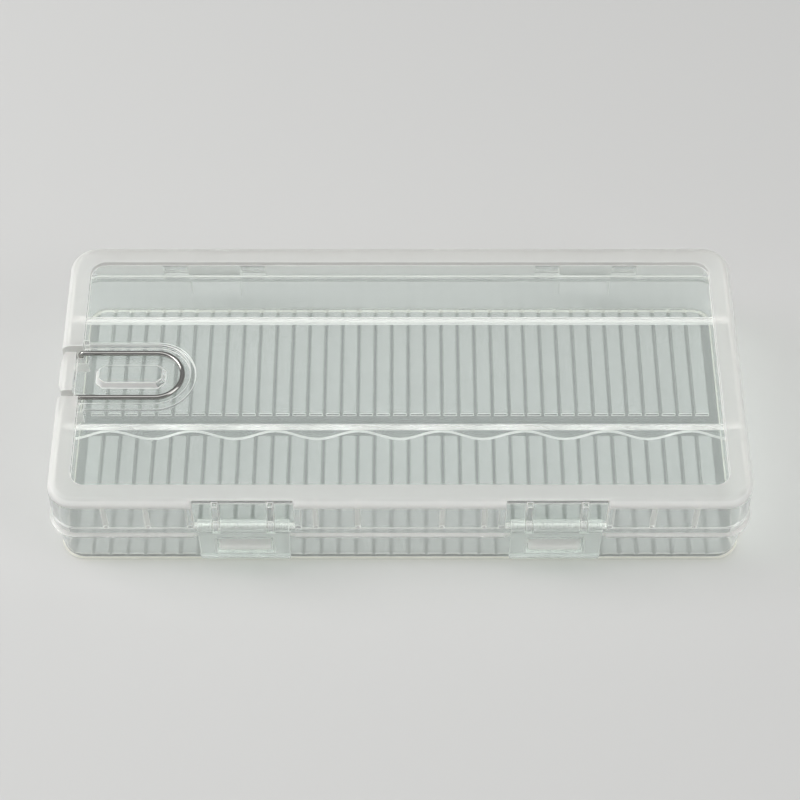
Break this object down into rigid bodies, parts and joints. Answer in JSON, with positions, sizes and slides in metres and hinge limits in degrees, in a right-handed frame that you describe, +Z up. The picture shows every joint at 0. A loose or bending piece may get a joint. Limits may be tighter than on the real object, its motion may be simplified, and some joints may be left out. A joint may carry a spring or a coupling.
{
  "type": "hinged battery storage case",
  "caption": "Translucent hinged storage case for a row of cylindrical cells, with front snap latches and a fold-out wire hanger.",
  "frame": {"origin": "centre of the flat underside of the base, below the middle of the cell bay", "axes": "+X along the row of cells, away from the end with the hanger; +Y from the latches to the hinge; +Z up"},
  "size_m": [0.1582, 0.0793, 0.0258],
  "materials": {
    "case_plastic": "frosted translucent natural polypropylene",
    "latch_plastic": "clear, glossy",
    "pin_steel": "bright drawn wire",
    "wire_steel": "bright nickel-plated wire"
  },
  "bodies": {
    "base": {"base_tray": "case_plastic", "hinge_pin_left": "pin_steel", "hinge_pin_right": "pin_steel"},
    "lid": {"lid_cover": "case_plastic", "latch_pin_left": "pin_steel", "latch_pin_right": "pin_steel"},
    "latch_left": {"latch_left": "latch_plastic"},
    "latch_right": {"latch_right": "latch_plastic"},
    "hanger": {"hanger_wire": "wire_steel"}
  },
  "joints": [
    {"name": "lid_hinge", "type": "hinge", "parent": "base", "child": "lid", "pos_m": [0, 0.03891, 0.0124], "axis": [-1, 0, 0], "range_deg": [0, 135]},
    {"name": "latch_left_pivot", "type": "hinge", "parent": "lid", "child": "latch_left", "pos_m": [-0.0348, -0.0367, 0.0176], "axis": [-1, 0, 0], "range_deg": [0, 100]},
    {"name": "latch_right_pivot", "type": "hinge", "parent": "lid", "child": "latch_right", "pos_m": [0.0348, -0.0367, 0.0176], "axis": [-1, 0, 0], "range_deg": [0, 100]},
    {"name": "hanger_fold", "type": "hinge", "parent": "lid", "child": "hanger", "pos_m": [-0.074, -0.0004, 0.0221], "axis": [0, -1, 0], "range_deg": [0, 180]}
  ]
}
